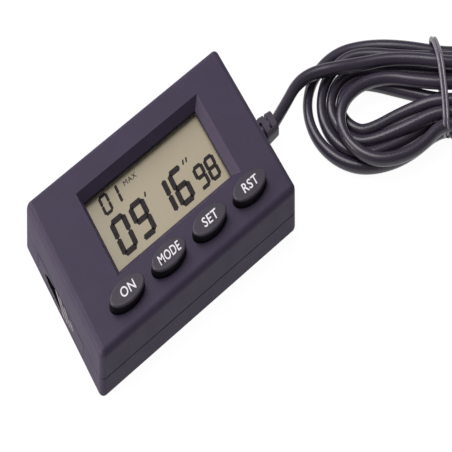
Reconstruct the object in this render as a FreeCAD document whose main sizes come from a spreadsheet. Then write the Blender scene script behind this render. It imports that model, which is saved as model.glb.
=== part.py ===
"""Hand-held digital instrument with a wired sensor probe, built as the pieces it is assembled from.

The case lies on its back. The origin is the middle of the back face, +X runs along the long side in reading
direction (the lead leaves the +X wall, the battery drawer is in the -X wall), +Y runs up the display and +Z
comes out of it. All sizes are millimetres and live in the spreadsheet "sizes".
"""
import FreeCAD, Part
import Sketcher
import math
import os
import re

Vector = FreeCAD.Vector
doc = FreeCAD.newDocument("instrument")

# ---------------------------------------------------------------- driving dimensions
SIZES = {
    # case
    "case_length": 62.0, "case_width": 38.8, "case_height": 12.0, "parting_height": 5.0,
    "wall": 1.6, "back_thickness": 1.2, "corner_radius": 1.5, "face_rounding": 1.5,
    "back_rounding": 0.7,
    "joint_chamfer": 0.15, "fit_gap": 0.1,
    # tongue of the rear cover that registers inside the front shell
    "tongue_inset": 1.7, "tongue_thickness": 0.7, "tongue_height": 0.8,
    # display recess: mouth in the face and foot at the window
    "mouth_x": 0.8, "mouth_y": 2.45, "mouth_width": 39.2, "mouth_depth": 21.3,
    "foot_x": 0.6, "foot_y": 2.55, "foot_width": 35.8, "foot_depth": 17.5,
    "recess_depth": 2.0, "lip_height": 9.6, "lip_border": 3.2,
    # display stack
    "window_thickness": 0.8, "glass_width": 38.0, "glass_depth": 19.6, "glass_top": 8.7,
    "glass_thickness": 1.2, "film_thickness": 0.2, "film_depth": 14.0, "holder_wall": 1.0,
    "strip_depth": 2.0, "strip_offset": 8.7,
    # circuit board
    "board_bottom": 5.5, "board_thickness": 0.8, "board_left": 28.0, "board_right": 26.0,
    "board_width": 32.8, "board_notch_x": 5.0, "board_notch_y": 4.6,
    # pieces on the underside of the board, and the lead's cores
    "blob_x": 9.0, "blob_y": 1.0, "blob_length": 10.0, "blob_width": 9.2, "blob_height": 1.6,
    "crystal_x": 6.0, "crystal_y": 9.0, "crystal_radius": 1.05, "crystal_length": 6.2,
    "pin_radius": 0.2, "pin_length": 2.4, "pin_pitch": 1.0, "pin_joint_radius": 0.35,
    "chip_x": 17.5, "chip_y": 4.0, "chip_pitch_x": 2.6, "chip_pitch_y": 2.4, "chip_length": 1.6,
    "chip_width": 0.8, "chip_height": 0.6, "core_end": 22.5, "core_radius": 0.35, "core_pitch": 1.8,
    "core_joint_radius": 0.5,
    # buttons
    "button_pitch": 13.0, "button_row_x": 0.4, "button_row_y": 13.0, "button_length": 10.2,
    "button_depth": 5.3, "button_top": 14.1, "button_gap": 0.15, "button_rounding": 0.35,
    "flange_rim": 0.5, "flange_thickness": 0.75, "stem_radius": 1.4,
    "dome_base_radius": 2.5, "dome_top_radius": 1.6, "dome_height": 1.9, "dome_wall": 0.4,
    # screws and posts
    "post_x": 27.2, "post_y": 15.0, "post_radius": 1.8, "pilot_radius": 0.95, "clearance_radius": 1.05,
    "screw_radius": 0.9, "screw_head_radius": 1.4, "screw_head_height": 1.2, "screw_seat": 1.6,
    "screw_length": 7.0, "counterbore_radius": 1.55, "cross_width": 0.4, "cross_length": 1.7,
    "cross_depth": 0.6,
    "boss_radius": 1.7, "boss_pilot_radius": 0.8, "board_screw_radius": 0.75, "board_screw_length": 4.1,
    "board_head_height": 0.9,
    # battery drawer and coin cell
    "drawer_y": 1.1, "drawer_width": 22.6, "drawer_bottom": 1.3, "drawer_top": 4.9, "drawer_length": 22.8,
    "drawer_front": 1.6, "tray_floor": 0.4, "drawer_gap": 0.15, "rail_thickness": 0.8,
    "cell_x": 18.7, "cell_radius": 10.0, "cell_height": 3.2, "cell_pocket_radius": 10.15,
    "contact_slot": 4.4, "grip_y": 1.4, "grip_half_length": 7.4, "grip_half_height": 1.75,
    "grip_depth": 0.8, "nail_notch_depth": 1.3, "rib_width": 1.05, "rib_height": 0.7, "rib_pitch": 2.0,
    "rib_lean": 1.4, "first_rib": 0.2,
    # battery contacts
    "leaf_thickness": 0.3, "leaf_width": 3.0, "leaf_gap": 0.05, "leaf_bend": 0.25, "upper_leaf_y": 5.0,
    "upper_leaf_end": 17.0, "upper_leaf_length": 10.2, "upper_foot_length": 3.0, "lower_leaf_reach": 10.0,
    "lower_leaf_step": 2.6,
    # moulded strain relief
    "relief_centre_z": 5.0, "relief_width": 5.8, "relief_height": 4.2, "relief_length": 6.4,
    "relief_end_width": 4.8, "relief_end_height": 3.6, "relief_slot": 0.75, "relief_pitch": 2.1,
    "relief_flange": 1.5, "relief_flange_width": 8.0, "relief_flange_height": 6.0,
    "relief_core_radius": 1.55, "relief_rounding": 1.25, "relief_end_rounding": 0.45,
    # lead, hank, tie and probe
    "lead_diameter": 2.7, "hank_x": 47.2, "hank_y": 0.1, "hank_turn": -34.7, "hank_length": 78.0,
    "near_radius": 15.1, "near_offset": 0.75, "far_radius": 13.9, "far_offset": 0.45,
    "waist_low": -6.2, "waist_high": 14.35, "hank_height": 6.8, "hank_rounding": 1.6,
    "tie_x": 37.9, "tie_diameter": 0.9,
    "probe_y": 17.2, "sleeve_start": 60.5, "sleeve_length": 9.0, "sleeve_small_radius": 1.7,
    "sleeve_large_radius": 2.4, "probe_radius": 2.1, "probe_length": 19.0, "probe_nose": 1.2,
}
sheet = doc.addObject("Spreadsheet::Sheet", "sizes")
for row, (alias, number) in enumerate(SIZES.items(), start=1):
    sheet.set(f"A{row}", alias)
    sheet.set(f"B{row}", str(number))
    sheet.setAlias(f"B{row}", alias)
doc.recompute()

BUTTONS = ("power", "mode", "set", "reset")
BOARD_SCREWS = ((-12.0, 15.3), (13.0, 15.3), (23.6, -5.5))
LEAD_ROUTE = [(37.4, 0.0, 5.0), (42.3, 1.7, 4.9), (47.6, 3.9, 4.7), (52.6, 3.5, 4.7), (58.4, 0.6, 5.1)]
TAIL_ROUTE = [(89.7, -14.0, 1.5), (96.8, -16.1, 1.4), (102.62, -17.35, 2.4), (106.73, -20.2, 2.4)]


def size(name):
    """One driving dimension, read back from the spreadsheet."""
    return float(sheet.get(name))


def link(formula):
    """Turn the names in a formula into references to the spreadsheet's cells."""
    return re.sub(r"[a-z][a-z_]+", lambda word: "sizes." + word.group(0), str(formula))


# ---------------------------------------------------------------- building blocks
def new_body(label):
    body = doc.addObject("PartDesign::Body", label)
    body.Label = label
    return body


def sketch_on(body, plane, at=(0, 0, 0)):
    """A sketch on one of the body's own origin planes, moved by three formulas in the sketch's own axes."""
    sketch = body.newObject("Sketcher::SketchObject", f"{body.Name}_sketch")
    support = [feature for feature in body.Origin.OriginFeatures if feature.Role == plane]
    sketch.AttachmentSupport = [(support[0], "")]
    sketch.MapMode = "FlatFace"
    for axis, formula in zip("xyz", at):
        sketch.setExpression(f"AttachmentOffset.Base.{axis}", link(formula))
    return sketch


def add_rectangle(sketch, width, height):
    """A rectangle centred on the sketch's origin, with its two sides bound to formulas."""
    first = sketch.GeometryCount
    corners = [Vector(-2, -1, 0), Vector(2, -1, 0), Vector(2, 1, 0), Vector(-2, 1, 0)]
    for i in range(4):
        sketch.addGeometry(Part.LineSegment(corners[i], corners[(i + 1) % 4]))
    for i in range(4):
        sketch.addConstraint(Sketcher.Constraint("Coincident", first + i, 2, first + (i + 1) % 4, 1))
        sketch.addConstraint(Sketcher.Constraint("Vertical" if i % 2 else "Horizontal", first + i))
    sketch.addConstraint(Sketcher.Constraint("Symmetric", first, 1, first + 2, 1, -1, 1))
    for side, kind, formula in ((first, "DistanceX", width), (first + 1, "DistanceY", height)):
        number = sketch.addConstraint(Sketcher.Constraint(kind, side, 1, side, 2, 3.0))
        sketch.setExpression(f"Constraints[{number}]", link(formula))


def add_circle(sketch, radius):
    """A circle centred on the sketch's origin."""
    circle = sketch.addGeometry(Part.Circle(Vector(0, 0, 0), Vector(0, 0, 1), 1.0))
    sketch.addConstraint(Sketcher.Constraint("Coincident", circle, 3, -1, 1))
    number = sketch.addConstraint(Sketcher.Constraint("Radius", circle, 1.0))
    sketch.setExpression(f"Constraints[{number}]", link(radius))


def add_ellipse(sketch, length, depth):
    """An ellipse centred on the sketch's origin, its long axis along the sketch's x."""
    ellipse = sketch.addGeometry(Part.Ellipse(Vector(0, 0, 0), 5.0, 2.5))
    sketch.exposeInternalGeometry(ellipse)
    sketch.addConstraint(Sketcher.Constraint("Coincident", ellipse, 3, -1, 1))
    sketch.addConstraint(Sketcher.Constraint("Horizontal", ellipse + 1))
    for axis, formula in ((ellipse + 1, length), (ellipse + 2, depth)):
        number = sketch.addConstraint(Sketcher.Constraint("Distance", axis, 1, axis, 2, 4.0))
        sketch.setExpression(f"Constraints[{number}]", link(formula))


def pad(body, sketch, length, both_ways=False):
    """Add material along the sketch's normal."""
    feature = body.newObject("PartDesign::Pad", f"{body.Name}_pad")
    feature.Profile = sketch
    feature.Midplane = both_ways
    feature.setExpression("Length", link(length))
    sketch.Visibility = False
    body.Tip = feature
    doc.recompute()
    return feature


def cut(body, sketch, length, forwards=False):
    """Take material away against the sketch's normal, or along it when forwards is set."""
    before = body.Shape.Volume
    feature = body.newObject("PartDesign::Pocket", f"{body.Name}_pocket")
    feature.Profile = sketch
    feature.Reversed = forwards
    feature.setExpression("Length", link(length))
    body.Tip = feature
    doc.recompute()
    if not feature.Shape.Volume < before - 1e-6:
        raise RuntimeError(f"{feature.Name} of {body.Label} cuts nothing")
    return feature


def plate(body, x, y, z, width, depth, height):
    """Add a rectangular block, centred in x and y, that stands on the height z."""
    sketch = sketch_on(body, "XY_Plane", (x, y, z))
    add_rectangle(sketch, width, depth)
    return pad(body, sketch, height)


def trench(body, x, y, top, width, depth, height):
    """Cut a rectangular hollow, centred in x and y, down from the height top."""
    sketch = sketch_on(body, "XY_Plane", (x, y, top))
    add_rectangle(sketch, width, depth)
    return cut(body, sketch, height)


def stud(body, x, y, z, radius, height):
    """Add an upright round post."""
    sketch = sketch_on(body, "XY_Plane", (x, y, z))
    add_circle(sketch, radius)
    return pad(body, sketch, height)


def bore(body, x, y, top, radius, depth):
    """Cut an upright round hole down from the height top."""
    sketch = sketch_on(body, "XY_Plane", (x, y, top))
    add_circle(sketch, radius)
    return cut(body, sketch, depth)


def dress(body, kind, wanted, formula):
    """Fillet or chamfer every edge of the body that the test named wanted picks."""
    base = body.Tip
    names = [f"Edge{i}" for i, edge in enumerate(base.Shape.Edges, start=1) if wanted(edge)]
    if not names:
        raise RuntimeError(f"no edge to dress on {body.Label}")
    feature = body.newObject(f"PartDesign::{kind}", f"{body.Name}_{kind.lower()}")
    feature.Base = (base, names)
    feature.setExpression("Radius" if kind == "Fillet" else "Size", link(formula))
    body.Tip = feature
    doc.recompute()
    return feature


def upright_corner(edge):
    """A straight vertical edge on the case's outer corner."""
    box = edge.BoundBox
    at_corner = abs(box.XMin) > size("case_length") / 2 - 0.1 and abs(box.YMin) > size("case_width") / 2 - 0.1
    return box.XLength < 0.01 and box.YLength < 0.01 and at_corner


def outer_edge_at(height):
    """A test for the edges of the case's outline at one height."""
    def test(edge):
        box = edge.BoundBox
        level = abs(box.ZMin - height) < 0.01 and abs(box.ZMax - height) < 0.01
        far_x = max(abs(box.XMin), abs(box.XMax)) > size("case_length") / 2 - 0.01
        far_y = max(abs(box.YMin), abs(box.YMax)) > size("case_width") / 2 - 0.01
        return level and (far_x or far_y)
    return test


def block(name, x, y, z, width, depth, height):
    """A plain box from its low corner and its sides, all given as formulas."""
    box = doc.addObject("Part::Box", name)
    for axis, formula in zip("xyz", (x, y, z)):
        box.setExpression(f"Placement.Base.{axis}", link(formula))
    for side, formula in (("Length", width), ("Width", depth), ("Height", height)):
        box.setExpression(side, link(formula))
    return box


def rod(name, x, y, z, radius, height, axis="z"):
    """A plain cylinder from the middle of its first end."""
    cylinder = doc.addObject("Part::Cylinder", name)
    if axis == "x":
        cylinder.Placement.Rotation = FreeCAD.Rotation(Vector(0, 1, 0), 90)
    for letter, formula in zip("xyz", (x, y, z)):
        cylinder.setExpression(f"Placement.Base.{letter}", link(formula))
    cylinder.setExpression("Radius", link(radius))
    cylinder.setExpression("Height", link(height))
    return cylinder


def fuse(label, pieces):
    feature = doc.addObject("Part::MultiFuse", label)
    feature.Shapes = pieces
    feature.Label = label
    return feature


def subtract(label, base, tool):
    feature = doc.addObject("Part::Cut", label)
    feature.Base = base
    feature.Tool = tool
    feature.Label = label
    return feature


def gather(label, pieces):
    """Several separate solids kept in one node."""
    feature = doc.addObject("Part::Compound", label)
    feature.Links = pieces
    feature.Label = label
    return feature


FOUR_CORNERS = [(x, y) for x in ("-post_x", "post_x") for y in ("-post_y", "post_y")]


# ---------------------------------------------------------------- case
def front_shell():
    """Upper shell: face with a sloped display recess, four button holes, posts and bosses underneath."""
    body = new_body("front_shell")
    plate(body, 0, 0, "parting_height", "case_length", "case_width", "case_height - parting_height")
    dress(body, "Fillet", upright_corner, "corner_radius")
    dress(body, "Fillet", outer_edge_at(size("case_height")), "face_rounding")
    ceiling = "case_height - wall"
    trench_sketch = sketch_on(body, "XY_Plane", (0, 0, "parting_height"))
    add_rectangle(trench_sketch, "case_length - 2 * wall", "case_width - 2 * wall")
    cut(body, trench_sketch, f"{ceiling} - parting_height", forwards=True)
    plate(body, "foot_x", "foot_y", "lip_height", "foot_width + 2 * lip_border",
          "foot_depth + 2 * lip_border", f"{ceiling} - lip_height + fit_gap")
    mouth = sketch_on(body, "XY_Plane", ("mouth_x", "mouth_y", "case_height"))
    add_rectangle(mouth, "mouth_width", "mouth_depth")
    foot = sketch_on(body, "XY_Plane", ("foot_x", "foot_y", "case_height - recess_depth"))
    add_rectangle(foot, "foot_width", "foot_depth")
    slope = body.newObject("PartDesign::SubtractiveLoft", "display_slope")
    slope.Profile = mouth
    slope.Sections = [foot]
    slope.Ruled = True
    body.Tip = slope
    doc.recompute()
    trench(body, "foot_x", "foot_y", "case_height - recess_depth + fit_gap", "foot_width", "foot_depth",
           "recess_depth")
    for i in range(len(BUTTONS)):
        hole = sketch_on(body, "XY_Plane", (button_x(i), "-button_row_y", "case_height"))
        add_ellipse(hole, "button_length + 2 * button_gap", "button_depth + 2 * button_gap")
        cut(body, hole, "wall + fit_gap")
    for x, y in FOUR_CORNERS:
        stud(body, x, y, "parting_height", "post_radius", f"{ceiling} - parting_height")
        bore(body, x, y, "screw_seat + screw_length + 0.3", "pilot_radius", "case_height")
    for x, y in BOARD_SCREWS:
        stud(body, x, y, "board_bottom + board_thickness", "boss_radius",
             f"{ceiling} - board_bottom - board_thickness")
        bore(body, x, y, "board_bottom + board_screw_length + 0.2", "boss_pilot_radius", "case_height")
    relief_hole(body)
    dress(body, "Chamfer", outer_edge_at(size("parting_height")), "joint_chamfer")


def rear_cover():
    """Lower shell: flat back with counterbored screw holes, tongue, drawer bay and its rails."""
    body = new_body("rear_cover")
    plate(body, 0, 0, 0, "case_length", "case_width", "parting_height")
    dress(body, "Fillet", upright_corner, "corner_radius")
    dress(body, "Fillet", outer_edge_at(0.0), "back_rounding")
    inside = "parting_height - back_thickness"
    trench(body, 0, 0, "parting_height", "case_length - 2 * wall", "case_width - 2 * wall", inside)
    for outer, top in (("(wall - fit_gap)", "0"), ("tongue_inset", "tongue_height")):
        ring = sketch_on(body, "XY_Plane", (0, 0, "back_thickness"))
        for inset in (outer, "(tongue_inset + tongue_thickness)"):
            add_rectangle(ring, f"case_length - 2 * {inset}", f"case_width - 2 * {inset}")
        pad(body, ring, f"{inside} + {top}")
    for x, y in FOUR_CORNERS:
        stud(body, x, y, "back_thickness", "post_radius", inside)
        bore(body, x, y, "parting_height", "clearance_radius", "parting_height")
        bore(body, x, y, "screw_seat", "counterbore_radius", "screw_seat")
    bay_width = "(drawer_width + 2 * drawer_gap)"
    inner_end = "(drawer_length - case_length / 2 + drawer_gap)"
    for side in ("-", "+"):
        plate(body, "(drawer_length - case_length - 2 * wall) / 2",
              f"drawer_y {side} ({bay_width} + rail_thickness) / 2", "back_thickness",
              "drawer_length - 2 * wall", "rail_thickness", inside)
        plate(body, f"{inner_end} + rail_thickness / 2", f"drawer_y {side} (drawer_width + contact_slot) / 4",
              "back_thickness", "rail_thickness", "(drawer_width - contact_slot) / 2", f"{inside} - 1")
    trench(body, "-case_length / 2", "drawer_y", "parting_height + tongue_height", "6 * wall", bay_width,
           f"{inside} + tongue_height")
    relief_hole(body)
    trench(body, "case_length / 2 - wall - tongue_thickness", 0, "parting_height + tongue_height",
           "1.6 * tongue_thickness", "relief_flange_width + 2 * fit_gap", f"{inside} + tongue_height - 0.6")
    dress(body, "Chamfer", outer_edge_at(size("parting_height")), "joint_chamfer")


def relief_hole(body):
    """Half of the opening in the +X wall that the strain relief's neck sits in."""
    sketch = sketch_on(body, "YZ_Plane", (0, "relief_centre_z", "case_length / 2 + wall"))
    add_rectangle(sketch, "relief_width + 2 * fit_gap", "relief_height + 2 * fit_gap")
    cut(body, sketch, "2.6 * wall")


def case_screws():
    """Four self-tapping screws with cross recesses, driven in from the back."""
    screws = []
    for i, (x, y) in enumerate(FOUR_CORNERS):
        head = rod(f"case_screw_head_{i}", x, y, "screw_seat - screw_head_height", "screw_head_radius",
                   "screw_head_height")
        shank = rod(f"case_screw_shank_{i}", x, y, "screw_seat", "screw_radius", "screw_length")
        screws.append(subtract(f"case_screw_{i}", fuse(f"case_screw_blank_{i}", [head, shank]),
                               cross_recess(f"case_cross_{i}", x, y, "screw_seat - screw_head_height")))
    gather("case_screws", screws)


def cross_recess(name, x, y, face):
    """The driver's cross, sunk upwards into a head whose face is at the given height."""
    arms = []
    for turn, (width, depth) in enumerate((("cross_length", "cross_width"), ("cross_width", "cross_length"))):
        arms.append(block(f"{name}_{turn}", f"{x} - {width} / 2", f"{y} - {depth} / 2", face, width, depth,
                          "cross_depth"))
    return fuse(name, arms)


# ---------------------------------------------------------------- display
def display_window():
    body = new_body("display_window")
    plate(body, "foot_x", "foot_y", "lip_height - window_thickness", "glass_width", "glass_depth",
          "window_thickness")
    dress(body, "Chamfer", lambda edge: edge.BoundBox.ZMax < size("lip_height") - 0.1, 0.15)


def lcd_panel():
    """Liquid-crystal cell: a lower glass and a slightly narrower upper glass with its polariser."""
    body = new_body("lcd_panel")
    bottom = "glass_top - glass_thickness"
    plate(body, "foot_x", "foot_y", bottom, "glass_width", "glass_depth", "glass_thickness / 2")
    plate(body, "foot_x", "foot_y", f"{bottom} + glass_thickness / 2", "glass_width", "glass_depth - 1",
          "glass_thickness / 2")


def lcd_reflector():
    body = new_body("lcd_reflector")
    plate(body, "foot_x", "foot_y", "glass_top - glass_thickness - film_thickness", "glass_width",
          "film_depth", "film_thickness")


def lcd_holder():
    """Frame that stands on the board and keeps the glass and the window in line with the recess."""
    body = new_body("lcd_holder")
    board_top = "board_bottom + board_thickness"
    plate(body, "foot_x", "foot_y", board_top, "glass_width + 2 * fit_gap + 2 * holder_wall",
          "glass_depth + 2 * fit_gap + 2 * holder_wall", f"lip_height - ({board_top})")
    trench(body, "foot_x", "foot_y", "lip_height", "glass_width + 2 * fit_gap", "glass_depth + 2 * fit_gap",
           f"lip_height - ({board_top})")
    dress(body, "Fillet", lambda edge: edge.BoundBox.ZLength > 2.0 and edge.BoundBox.XLength < 0.01
          and abs(edge.BoundBox.YMin - size("foot_y")) > size("glass_depth") / 2 + 0.5, 0.4)


def zebra_strip(label, side):
    """Elastomer strip that joins the glass's contacts to the board's."""
    strip = block(label, "foot_x - glass_width / 2 + 1", f"foot_y {side} strip_offset - strip_depth / 2",
                  "board_bottom + board_thickness", "glass_width - 2", "strip_depth",
                  "glass_top - glass_thickness - board_bottom - board_thickness")
    strip.Label = label


# ---------------------------------------------------------------- electronics
def circuit_board():
    body = new_body("circuit_board")
    plate(body, "(board_right - board_left) / 2", 0, "board_bottom", "board_left + board_right",
          "board_width", "board_thickness")
    for x, y in FOUR_CORNERS:
        trench(body, x, y, "board_bottom + board_thickness", "board_notch_x", "board_notch_y",
               "board_thickness")
    for x, y in BOARD_SCREWS:
        bore(body, x, y, "board_bottom + board_thickness", "board_screw_radius + fit_gap", "board_thickness")


def controller_blob():
    """Epoxy glob over the bonded chip, on the underside of the board: a flat dome."""
    blob = doc.addObject("Part::Ellipsoid", "blob_ellipsoid")
    for name, formula in (("Radius1", "blob_height"), ("Radius2", "blob_length / 2"),
                          ("Radius3", "blob_width / 2"), ("Placement.Base.x", "blob_x"),
                          ("Placement.Base.y", "blob_y"), ("Placement.Base.z", "board_bottom")):
        blob.setExpression(name, link(formula))
    keep = block("blob_half", "blob_x - blob_length", "blob_y - blob_length",
                 "board_bottom - 2 * blob_height", "2 * blob_length", "2 * blob_length", "2 * blob_height")
    half = doc.addObject("Part::Common", "controller_blob")
    half.Base, half.Tool = blob, keep
    half.Label = "controller_blob"


def timing_crystal():
    """Small quartz crystal in a round can with its two pins soldered to the board."""
    height = "board_bottom - crystal_radius - fit_gap"
    can_end = "crystal_x + crystal_length"
    pieces = [rod("crystal_can", "crystal_x", "-crystal_y", height, "crystal_radius", "crystal_length",
                  axis="x")]
    for i, side in enumerate(("-", "+")):
        y = f"-crystal_y {side} pin_pitch / 2"
        pieces.append(rod(f"crystal_pin_{i}", can_end, y, height + " + 2 * pin_radius", "pin_radius",
                          "pin_length", axis="x"))
        pieces.append(rod(f"crystal_joint_{i}", f"{can_end} + pin_length - pin_joint_radius", y,
                          "board_bottom - crystal_radius", "pin_joint_radius", "crystal_radius"))
    fuse("timing_crystal", pieces)


def chip_components():
    """Surface-mount resistors and capacitors on the underside of the board."""
    chips = []
    for i in range(6):
        x, y = f"chip_x + chip_pitch_x * {i % 2}", f"chip_y + chip_pitch_y * {i // 2}"
        chips.append(block(f"chip_{i}", x, y, "board_bottom - chip_height", "chip_length", "chip_width",
                           "chip_height"))
    gather("chip_components", chips)


def board_screws():
    """Three screws that pull the board up against the front shell's bosses."""
    screws = []
    face = "board_bottom - board_head_height"
    for i, (x, y) in enumerate(BOARD_SCREWS):
        head = rod(f"board_screw_head_{i}", x, y, face, "screw_head_radius", "board_head_height")
        shank = rod(f"board_screw_shank_{i}", x, y, "board_bottom", "board_screw_radius",
                    "board_screw_length")
        screws.append(subtract(f"board_screw_{i}", fuse(f"board_screw_blank_{i}", [head, shank]),
                               cross_recess(f"board_cross_{i}", x, y, face)))
    gather("board_screws", screws)


def lead_wires():
    """The lead's two cores from the strain relief to their solder joints under the board."""
    wires = []
    height = "relief_centre_z - core_radius - fit_gap / 2"
    for i, side in enumerate(("-", "+")):
        y = f"0 {side} core_pitch / 2"
        core = rod(f"core_{i}", "core_end", y, height, "core_radius",
                   "case_length / 2 - wall - relief_flange - core_end", axis="x")
        joint = rod(f"core_joint_{i}", "core_end", y, f"{height} - core_radius", "core_joint_radius",
                    f"board_bottom - ({height}) + core_radius")
        wires.append(fuse(f"core_wire_{i}", [core, joint]))
    gather("lead_wires", wires)


# ---------------------------------------------------------------- buttons
def button_x(number):
    return f"button_row_x + button_pitch * {number - (len(BUTTONS) - 1) / 2}"


def button(number, word):
    """Oval cap with a retaining flange and a stem; its own frame is on the button's axis."""
    body = new_body(f"button_{word}")
    body.setExpression("Placement.Base.x", link(button_x(number)))
    body.setExpression("Placement.Base.y", link("-button_row_y"))
    flange_top = "case_height - wall - 0.05"
    outline = sketch_on(body, "XY_Plane", (0, 0, f"{flange_top} - flange_thickness"))
    add_ellipse(outline, "button_length + 2 * flange_rim", "button_depth + 2 * flange_rim")
    pad(body, outline, "flange_thickness")
    cap = sketch_on(body, "XY_Plane", (0, 0, f"{flange_top} - flange_thickness"))
    add_ellipse(cap, "button_length", "button_depth")
    pad(body, cap, f"button_top - ({flange_top} - flange_thickness)")
    dress(body, "Fillet", lambda edge: edge.BoundBox.ZMin > size("button_top") - 0.01, "button_rounding")
    dome_top = "board_bottom + board_thickness + dome_height"
    stud(body, 0, 0, dome_top, "stem_radius", f"{flange_top} - flange_thickness - ({dome_top})")


def return_dome(number, word):
    """Hollow silicone dome on the board that pushes the button back up."""
    board_top = "board_bottom + board_thickness"
    shells = []
    for part, inset in (("outer", "0"), ("inner", "dome_wall")):
        cone = doc.addObject("Part::Cone", f"dome_{part}_{word}")
        cone.setExpression("Radius1", link(f"dome_base_radius - {inset}"))
        cone.setExpression("Radius2", link(f"dome_top_radius - {inset}"))
        cone.setExpression("Height", link(f"dome_height - {inset}"))
        cone.setExpression("Placement.Base.x", link(button_x(number)))
        cone.setExpression("Placement.Base.y", link("-button_row_y"))
        cone.setExpression("Placement.Base.z", link(board_top))
        shells.append(cone)
    subtract(f"return_dome_{word}", *shells)


# ---------------------------------------------------------------- battery
def battery_drawer():
    """Sliding tray for the coin cell, with a ribbed finger grip and a nail notch in its front."""
    body = new_body("battery_drawer")
    front_x = "(-case_length / 2)"
    height = "drawer_top - drawer_bottom"
    plate(body, f"{front_x} + drawer_length / 2", "drawer_y", "drawer_bottom", "drawer_length",
          "drawer_width", height)
    bore(body, "-cell_x", "drawer_y", "drawer_top", "cell_pocket_radius", f"{height} - tray_floor")
    trench(body, f"({front_x} + drawer_length - cell_x) / 2", "drawer_y", "drawer_top",
           f"{front_x} + drawer_length + cell_x", "contact_slot", height)
    grip_outline(body, "grip_depth", 0, 1)
    grip_outline(body, "nail_notch_depth", 0.6, 0.44)
    ribs = sketch_on(body, "YZ_Plane", ("grip_y", "(drawer_top + drawer_bottom) / 2",
                                        f"{front_x} + grip_depth - rib_height"))
    for i in range(4):
        add_rib(ribs, i)
    pad(body, ribs, "rib_height")


def grip_outline(body, depth, shift, share):
    """Cut a pointed oval into the drawer's front: two arcs that meet at its ends."""
    sketch = sketch_on(body, "YZ_Plane", (f"grip_y + grip_half_length * {shift}",
                                          "(drawer_top + drawer_bottom) / 2", "-case_length / 2"))
    half_length = size("grip_half_length") * share
    half_height = size("grip_half_height") * (0.5 + share / 2)
    tips = [Vector(-half_length, 0, 0), Vector(half_length, 0, 0)]
    for side in (-1, 1):
        sketch.addGeometry(Part.Arc(tips[0], Vector(0, side * half_height, 0), tips[1]))
    sketch.addConstraint(Sketcher.Constraint("Coincident", 0, 2, 1, 1))
    sketch.addConstraint(Sketcher.Constraint("Coincident", 0, 1, 1, 2))
    sketch.addConstraint(Sketcher.Constraint("Symmetric", 0, 1, 0, 2, -1, 1))
    sketch.addConstraint(Sketcher.Constraint("Horizontal", 0, 1, 0, 2))
    sketch.addConstraint(Sketcher.Constraint("Equal", 0, 1))
    cut(body, sketch, depth, forwards=True)


def add_rib(sketch, number):
    """One slanted grip rib: a parallelogram that leans with its top towards the nail notch."""
    middle = size("first_rib") - number * size("rib_pitch")
    reach = size("grip_half_height") * (1 - (middle / size("grip_half_length")) ** 2) - size("fit_gap")
    lean, half = size("rib_lean") * reach, size("rib_width") / 2
    corners = [Vector(middle - lean - half, -reach, 0), Vector(middle - lean + half, -reach, 0),
               Vector(middle + lean + half, reach, 0), Vector(middle + lean - half, reach, 0)]
    for i in range(4):
        sketch.addGeometry(Part.LineSegment(corners[i], corners[(i + 1) % 4]))


def coin_cell():
    """Three-volt coin cell: a wide can on top of a slightly narrower cap that faces the back."""
    floor = "drawer_bottom + tray_floor"
    cap = rod("cell_cap", "-cell_x", "drawer_y", floor, "cell_radius - 1.2", "cell_height")
    can = rod("cell_can", "-cell_x", "drawer_y", f"{floor} + 0.4", "cell_radius", "cell_height - 0.4")
    fuse("coin_cell", [cap, can])


def battery_contacts():
    """Two bent leaves: the upper one bears on the can, the lower one reaches the cap from below."""
    leaf = ("leaf_width", "leaf_thickness")
    beside = "drawer_y + upper_leaf_y - leaf_width / 2"
    under_board = "board_bottom - leaf_thickness"
    foot = block("upper_foot", "upper_leaf_length - upper_leaf_end - 2 * fit_gap", beside, under_board,
                 "upper_foot_length", *leaf)
    arm = block("upper_arm", "-upper_leaf_end", beside, f"{under_board} - leaf_bend",
                "upper_leaf_length", *leaf)
    fuse("contact_upper", [foot, arm])
    across = "drawer_y - leaf_width / 2"
    riser_x = "drawer_length - case_length / 2 + drawer_gap + rail_thickness"
    riser = block("lower_riser", riser_x, across, "back_thickness", "leaf_thickness", "leaf_width",
                  "board_bottom - back_thickness")
    base = block("lower_base", f"{riser_x} - lower_leaf_step", across, "back_thickness",
                 "lower_leaf_step + leaf_thickness", *leaf)
    step = block("lower_step", f"{riser_x} - lower_leaf_step", across, "back_thickness", "leaf_thickness",
                 "leaf_width", "drawer_bottom + tray_floor - back_thickness - leaf_gap")
    reach = block("lower_arm", f"{riser_x} - lower_leaf_reach", across,
                  "drawer_bottom + tray_floor - leaf_thickness - leaf_gap",
                  "lower_leaf_reach - lower_leaf_step + leaf_thickness", *leaf)
    fuse("contact_lower", [riser, base, step, reach])


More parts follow.
